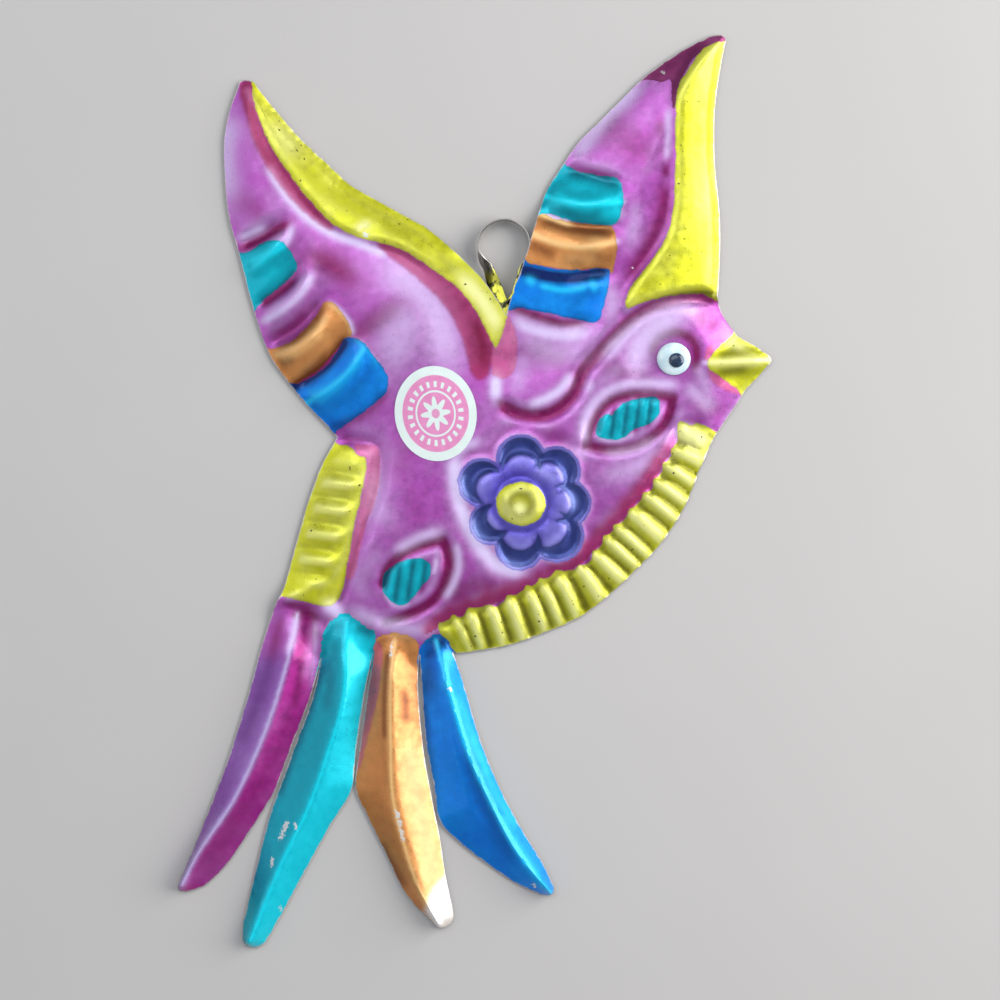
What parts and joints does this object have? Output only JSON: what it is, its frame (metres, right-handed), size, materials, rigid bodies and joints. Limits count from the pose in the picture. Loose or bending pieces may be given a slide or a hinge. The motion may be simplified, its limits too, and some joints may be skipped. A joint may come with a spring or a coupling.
{
  "type": "tin bird ornament",
  "caption": "Flat hand-lacquered bird stamped from tinplate, with spread wings, a four-feather tail, a small hanging loop and a label.",
  "frame": {"origin": "middle of the outline's box in plan, on the table under the sheet's rim", "axes": "+Z out of the embossed face; +Y from the tail tips to the wing tips, up when it hangs; +X to the beak"},
  "size_m": [0.0977, 0.1501, 0.0045],
  "materials": {
    "lacquered_tin": "glossy translucent lacquer over tinplate",
    "bare_tin": "bare tinplate strip",
    "solder": "dull solder",
    "label_paper": "coated paper label",
    "white_enamel": "glossy enamel drop",
    "dark_enamel": "glossy enamel drop"
  },
  "bodies": {
    "root": {"bird_sheet": "lacquered_tin", "hanging_loop": "bare_tin", "loop_solder": "solder", "sticker": "label_paper", "eye_white": "white_enamel", "eye_pupil": "dark_enamel"}
  },
  "joints": []
}
